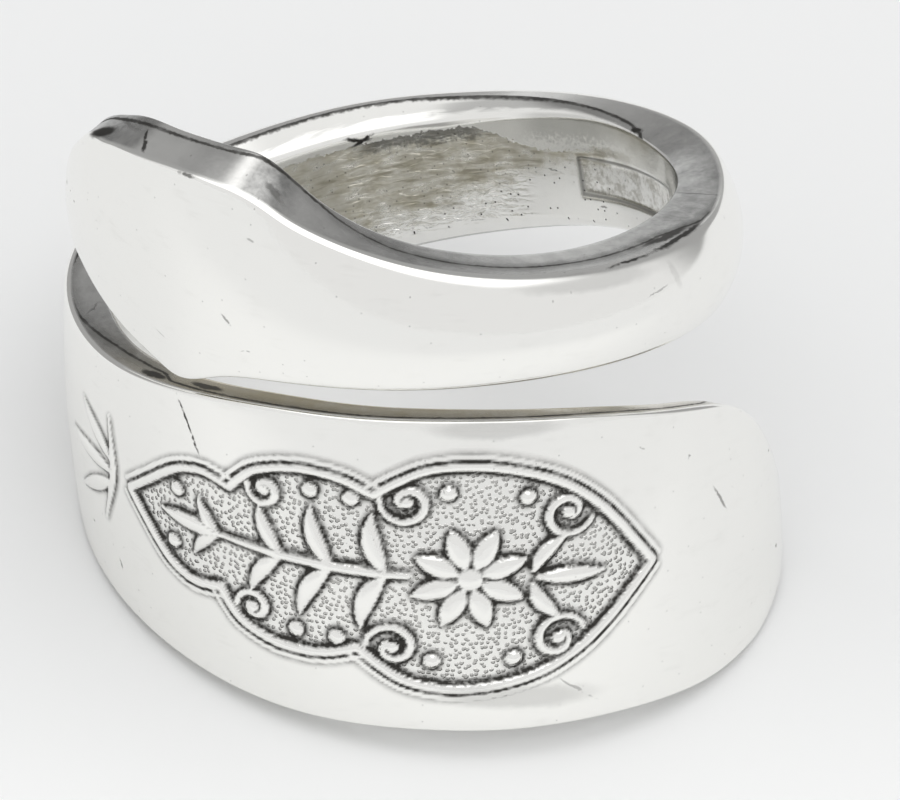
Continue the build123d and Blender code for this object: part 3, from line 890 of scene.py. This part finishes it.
class Nodes:
    """Adds shader nodes to one tree; a value is a number or another node's output."""

    def __init__(self, tree):
        self.tree = tree
        self.times = partial(self.math, "MULTIPLY")
        self.plus = partial(self.math, "ADD")
        self.minus = partial(self.math, "SUBTRACT")
        self.larger = partial(self.math, "MAXIMUM")

    def fill(self, node, values):
        """Sets a node's inputs, by name or number."""
        for name, value in values.items():
            if isinstance(value, bpy.types.NodeSocket):
                self.tree.links.new(value, node.inputs[name])
            else:
                node.inputs[name].default_value = value

    def add(self, kind, values, **settings):
        """The outputs of a new node with these settings and inputs."""
        node = self.tree.nodes.new(kind)
        for name, setting in settings.items():
            setattr(node, name, setting)
        self.fill(node, values)
        return node.outputs

    def math(self, operation, first, second=0.0):
        return self.add("ShaderNodeMath", {0: first, 1: second}, operation=operation)[0]

    def vector(self, operation, first, second):
        return self.add("ShaderNodeVectorMath", {0: first, 1: second}, operation=operation)["Vector"]

    def length(self, way):
        return self.add("ShaderNodeVectorMath", {0: way}, operation="LENGTH")["Value"]

    def scaled(self, way, size):
        return self.add("ShaderNodeVectorMath", {0: way, "Scale": size}, operation="SCALE")["Vector"]

    def parts(self, where):
        outputs = self.add("ShaderNodeSeparateXYZ", {"Vector": where})
        return outputs["X"], outputs["Y"], outputs["Z"]

    def read(self, name, output="Fac"):
        return self.add("ShaderNodeAttribute", {}, attribute_name=name)[output]

    def noise(self, where, scale, detail, distortion=0.0):
        values = {"Vector": where, "Scale": scale, "Detail": detail, "Distortion": distortion}
        return self.add("ShaderNodeTexNoise", values)["Fac"]

    def cells(self, where, scale, randomness=1.0):
        """A flat pattern of cells: how far a place is from its cell's point, and the cell's random colour."""
        values = {"Vector": where, "Scale": scale, "Randomness": randomness}
        outputs = self.add("ShaderNodeTexVoronoi", values, voronoi_dimensions="2D")
        return outputs["Distance"], outputs["Color"]

    def blend(self, share, first, second):
        first, second = [(*c, 1.0) if isinstance(c, tuple) else c for c in (first, second)]
        values = {"Factor": share, "A": first, "B": second}
        return self.add("ShaderNodeMix", values, data_type="RGBA")["Result"]

    def ramp(self, value, low, high, out_low=0.0, out_high=1.0):
        """Goes smoothly from one number to another as the value goes from low to high."""
        values = {"Value": value, "From Min": low, "From Max": high, "To Min": out_low, "To Max": out_high}
        return self.add("ShaderNodeMapRange", values, interpolation_type="SMOOTHSTEP")["Result"]


class Surface(Nodes):
    """Nodes of the ring's metal, with the places, shares and patterns that its tones are made from."""

    def __init__(self, tree):
        super().__init__(tree)
        self.where = self.read("strip_place", "Vector")
        self.along, self.side, self.depth = self.parts(self.where)
        self.inner, self.upper = self.read("inner_share"), self.read("upper_share")
        self.fine = self.minus(self.noise(self.where, 7.0, 2.0), 0.5)
        self.broad = self.minus(self.noise(self.where, 1.6, 3.0), 0.5)
        drawn = self.vector("MULTIPLY", self.where, (0.55, 3.2, 3.2))
        self.grain = self.minus(self.noise(drawn, 1.6, 3.0, 0.6), 0.5)
        self.uneven = self.plus(self.broad, self.grain)
        self.back = self.between(BACK)

    def between(self, stretch):
        """1 on a stretch of the strip, fading to 0 at both its ends."""
        start = self.ramp(self.along, stretch.start, stretch.full_from)
        return self.times(start, self.ramp(self.along, stretch.end, stretch.full_to))

    def product(self, first, *others):
        for other in others:
            first = self.times(first, other)
        return first


def on_strip(face, first, second):
    """A point of a face in the strip's own measures: along, side and depth."""
    half, thick, crown, shift, outer, lean = [float(v[0]) for v in strip_columns(np.array([first]))]
    if face == "inner":
        return first, second, 0.0
    if face == "upper":
        return first, shift + half + lean * (1 - second / thick), second
    share = (second - shift) / (half - edge_radius(outer, thick, half))
    return first, second, thick + crown * (1 - share * share)


def one_mark(s, where, face, mark):
    """How dark a long thin ellipsoid is: fully in its middle, fading outwards."""
    course = [Vector(on_strip(face, *point)) for point in mark.points]
    middle, run = (course[0] + course[-1]) / 2, (course[-1] - course[0]) / 2
    heading = run if run.length > 0 else Vector((1, 0, 0))
    values = {
        "Vector": where,
        "Location": middle,
        "Rotation": heading.to_track_quat("X", "Z").to_euler(),
        "Scale": (run.length + mark.radius, mark.radius, mark.radius),
    }
    share = s.length(s.add("ShaderNodeMapping", values, vector_type="TEXTURE")["Vector"])
    return s.ramp(share, mark_core, 1.0, mark.strength, 0.0)


def pits(s, where, scale, radius, rarity):
    """Small spots strewn at random, as a share from 0 to 1."""
    distance, random_colour = s.cells(where, scale)
    pick = s.add("ShaderNodeSeparateColor", {"Color": random_colour})[0]
    spot = s.ramp(distance, 0.5 * radius * scale, radius * scale, 1.0, 0.0)
    return s.times(spot, s.ramp(pick, rarity, rarity + 0.02))


def upper_tones(s):
    """Shares of the upper side's painted shade, its dark crease line in a band of painted shade, and its
    brown end, and of its worn inner edge.
    """
    # Painted shade on the upper side, mottled by noise
    mottling = s.plus(1.0, s.times(s.plus(s.broad, s.times(s.fine, 0.5)), 0.9))
    patina = s.product(s.read("patina"), s.upper, mottling)
    gap = s.read("crease_gap")
    # The crease: a thin dark line of tarnish, and round it a broad band of painted shade up to about 40 mm
    # along and from about 60 mm, faint on the flare
    off_line = s.math("ABSOLUTE", s.plus(gap, s.times(s.fine, 0.10)))
    shaded = s.larger(s.ramp(s.along, 40.0, 36.0), s.ramp(s.along, 60.0, 66.0, 0.0, 1.2))
    shaded = s.minus(shaded, s.ramp(s.along, 78.0, 82.0))
    painted_crease_shade = s.times(s.ramp(off_line, 0.05, 0.50, 0.40, 0.0), shaded)
    line = s.larger(s.ramp(off_line, 0.03, 0.10, 0.95, 0.0), painted_crease_shade)
    line = s.product(line, s.upper, s.ramp(s.broad, -0.35, 0.1, 0.65, 1.0))
    brown = s.product(s.read("brown"), s.upper, s.plus(1.0, s.times(s.broad, 0.8)))
    worn_edge = s.ramp(s.plus(s.inner, s.times(s.grain, 0.5)), 0.68, 0.45)
    worn_edge = s.product(worn_edge, s.upper, s.back, s.ramp(gap, 0.0, -0.05))
    return patina, line, brown, worn_edge


InnerTones = namedtuple("InnerTones", "rest under foot tarnish streak grey")


def inner_tones(s):
    """Shares of the inner wall's tones. At the back it has a ragged upper border, and under that brownish
    tarnish with a dark stretch, grey, and a paler frosted foot. The rest is only a little dull."""
    wall_share = s.ramp(s.inner, 0.7, 0.9)
    rest = s.product(wall_share, s.minus(1.0, s.back), s.ramp(s.uneven, -0.3, 0.4))
    wall = s.times(wall_share, s.back)
    border = s.plus(s.ramp(s.along, *border_fall), s.ramp(s.along, *border_rise))
    ragged = s.plus(s.side, s.plus(s.times(s.fine, 0.30), s.times(s.broad, 0.30)))
    under = s.times(s.ramp(s.minus(ragged, border), 0.02, -0.04), wall)
    foot_top = s.ramp(s.along, *foot_rise)
    over_foot = s.ramp(s.minus(s.plus(s.side, s.uneven), foot_top), -0.6, 0.6)
    tarnish = s.product(under, over_foot, s.plus(0.8, s.times(s.uneven, 1.1)))
    streak_side = s.plus(s.side, s.times(s.plus(s.fine, s.grain), 0.5))
    streak = s.product(s.between(DARK_STRETCH), under, s.ramp(streak_side, 0.95, 1.25))
    grey_side = s.plus(s.side, s.times(s.fine, 1.2))
    grey = s.product(s.ramp(s.along, 51.0, 52.5), wall, s.ramp(grey_side, 0.8, 1.3))
    return InnerTones(rest, under, s.times(wall, s.minus(1.0, over_foot)), tarnish, streak, grey)


def spot_tones(s, wall):
    """How dark the marks (among them painted soft shades and dark reflections), the pits and the rim of the
    small sunk panel are.
    """
    ragged = s.vector("ADD", s.where, s.scaled((0.14, 0.10, 0.14), s.fine))
    ragged = s.vector("ADD", ragged, s.scaled((0.10, -0.25, 0.25), s.broad))
    flat = s.add("ShaderNodeCombineXYZ", {"X": s.along, "Y": s.plus(s.side, s.depth)})["Vector"]
    pitted = s.larger(wall.foot, s.times(wall.under, 0.45))
    sunk = s.read("sunk_share")
    shares = [one_mark(s, ragged, face, mark) for face, rows in MARKS.items() for mark in rows]
    shares.append(s.times(pits(s, flat, 3.2, 0.042, 0.70), pitted))
    shares.append(s.times(pits(s, flat, 1.5, 0.036, 0.80), 0.28))
    shares.append(s.times(s.times(sunk, s.minus(1.0, sunk)), 2.6))
    return reduce(s.larger, shares)


def stipple_dots(s):
    """The punched dots of the panel's ground."""
    shaken = s.vector("ADD", s.where, s.scaled((0.10, -0.10, 0.0), s.fine))
    distance, _ = s.cells(shaken, stipple_scale, 0.85)
    return s.times(s.ramp(distance, 0.16, 0.42, 1.0, 0.0), s.read("ground_share"))


def surface_height(s, wall, dots):
    """The surface is never quite even, the inner wall is hammered and the stipple is punched in."""
    beaten = s.noise(s.vector("MULTIPLY", s.where, (1.0, 2.6, 1.0)), 1.5, 2.0, 1.2)
    waves = s.times(beaten, s.product(wall.under, s.between(HAMMERED), hammer_depth))
    swell = s.ramp(s.noise(s.where, 0.35, 1.0), 0.2, 0.8, 0.0, swell_height)
    return s.minus(s.plus(swell, waves), s.times(dots, dot_depth))


def silver_material():
    """Polished silver plate with painted shade on its upper side, a tarnished inner wall, dark hollows, and
    marks, some of them painted shades and dark reflections.
    """
    material = bpy.data.materials.new("silver_plate")
    material.use_nodes = True
    s = Surface(material.node_tree)
    patina, line, brown, worn_edge = upper_tones(s)
    wall = inner_tones(s)
    dots = stipple_dots(s)
    dull = s.larger(s.times(wall.rest, 0.18), s.ramp(s.uneven, 0.05, 0.55, 0.0, 0.10))
    deep = s.times(wall.tarnish, s.ramp(s.grain, 0.0, 0.16))
    mottled = s.ramp(s.plus(s.fine, s.broad), -0.15, 0.25)
    mottled = s.times(mottled, s.ramp(s.read("sunk_share"), 0.8, 1.0))
    hollows = s.times(s.read("hollow_dark"), s.ramp(s.plus(s.broad, s.fine), -0.35, 0.20, 0.65, 1.1))
    dark = s.larger(hollows, s.larger(spot_tones(s, wall), line))
    shares = patina, dull, brown, worn_edge, wall.tarnish, deep, mottled, wall.grey, wall.streak, dots, dark
    colour = BRIGHT
    for share, paint in zip(shares, PAINTS):
        colour = s.blend(s.times(share, paint.strength), colour, paint.colour)
    frosted = s.ramp(s.plus(wall.tarnish, s.times(wall.foot, 0.25)), 0.0, 1.0, 0.0, 0.22)
    rough = s.plus(s.ramp(dark, 0.0, 1.0, 0.13, 0.5), frosted)
    bump = s.add("ShaderNodeBump", {"Distance": MM, "Height": surface_height(s, wall, dots)})
    values = {"Base Color": colour, "Roughness": s.plus(rough, s.times(patina, 0.12)), "Metallic": 1.0}
    s.fill(material.node_tree.nodes["Principled BSDF"], {**values, "Normal": bump["Normal"]})
    return material


def make_camera():
    """The photograph's camera: it looks along +Y and down in the upright frame, slightly rolled."""
    tilt, roll = np.radians(camera_elevation), np.radians(camera_roll)
    forward = Vector((0, np.cos(tilt), -np.sin(tilt)))
    right = Vector((1, 0, 0))
    up = Vector((0, np.sin(tilt), np.cos(tilt)))
    level = right * np.cos(roll) + up * np.sin(roll)
    upward = up * np.cos(roll) - right * np.sin(roll)
    seat = (Vector(camera_aim) - forward * camera_distance) * MM
    data = bpy.data.cameras.new("photo_camera")
    data.sensor_width = sensor_width
    data.lens = focal_pixels / image_width * sensor_width
    data.clip_start, data.clip_end = 0.05, 20.0
    camera = add_object("photo_camera", data)
    axes = Matrix((turn @ level, turn @ upward, turn @ -forward)).transposed()
    camera.matrix_world = Matrix.Translation(turn @ seat + origin) @ axes.to_4x4()
    bpy.context.scene.camera = camera


def make_floor():
    """A pale floor with a painted pool of light in front of the ring, where its colour is a little brighter.
    """
    mesh = bpy.data.meshes.new("floor")
    corners = [(x * floor_reach, y * floor_reach, 0) for x, y in ((-1, -1), (1, -1), (1, 1), (-1, 1))]
    mesh.from_pydata(corners, [], [(0, 1, 2, 3)])
    floor = add_object("floor", mesh)
    material = bpy.data.materials.new("pale_floor")
    material.use_nodes = True
    nodes = Nodes(material.node_tree)
    where = nodes.add("ShaderNodeTexCoord", {})["Object"]
    ahead = nodes.ramp(nodes.parts(where)[1], -2 * MM, -22 * MM)
    painted_light_pool = nodes.times(ahead, nodes.ramp(nodes.length(where), 32 * MM, 55 * MM, 1.0, 0.0))
    values = {"Base Color": nodes.blend(painted_light_pool, FLOOR, FLOOR_PAINTED_LIGHT), "Roughness": 0.9, "Specular IOR Level": 0.0}
    nodes.fill(material.node_tree.nodes["Principled BSDF"], values)
    mesh.materials.append(material)


def make_light():
    """A white tent: brightest overhead, plain white in front and at the sides, grey low down at the back."""
    world = bpy.data.worlds.new("tent")
    bpy.context.scene.world = world
    world.use_nodes = True
    nodes = Nodes(world.node_tree)
    _, behind, height = nodes.parts(nodes.add("ShaderNodeTexCoord", {})["Generated"])
    plain = nodes.minus(front_sky, nodes.ramp(behind, back_from, back_full, 0.0, front_sky - back_sky))
    top = nodes.ramp(height, top_from, top_full)
    strength = nodes.plus(plain, nodes.times(top, nodes.minus(top_sky, plain)))
    nodes.fill(world.node_tree.nodes["Background"], {"Strength": strength, "Color": (1.0, 1.0, 1.0, 1.0)})
    bpy.context.scene.view_settings.view_transform = "Standard"


make_camera()
make_floor()
make_light()
band = make_piece("ring_silver", *build_band())
band.data.materials.append(silver_material())
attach(band, "root")
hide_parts("ring_band")
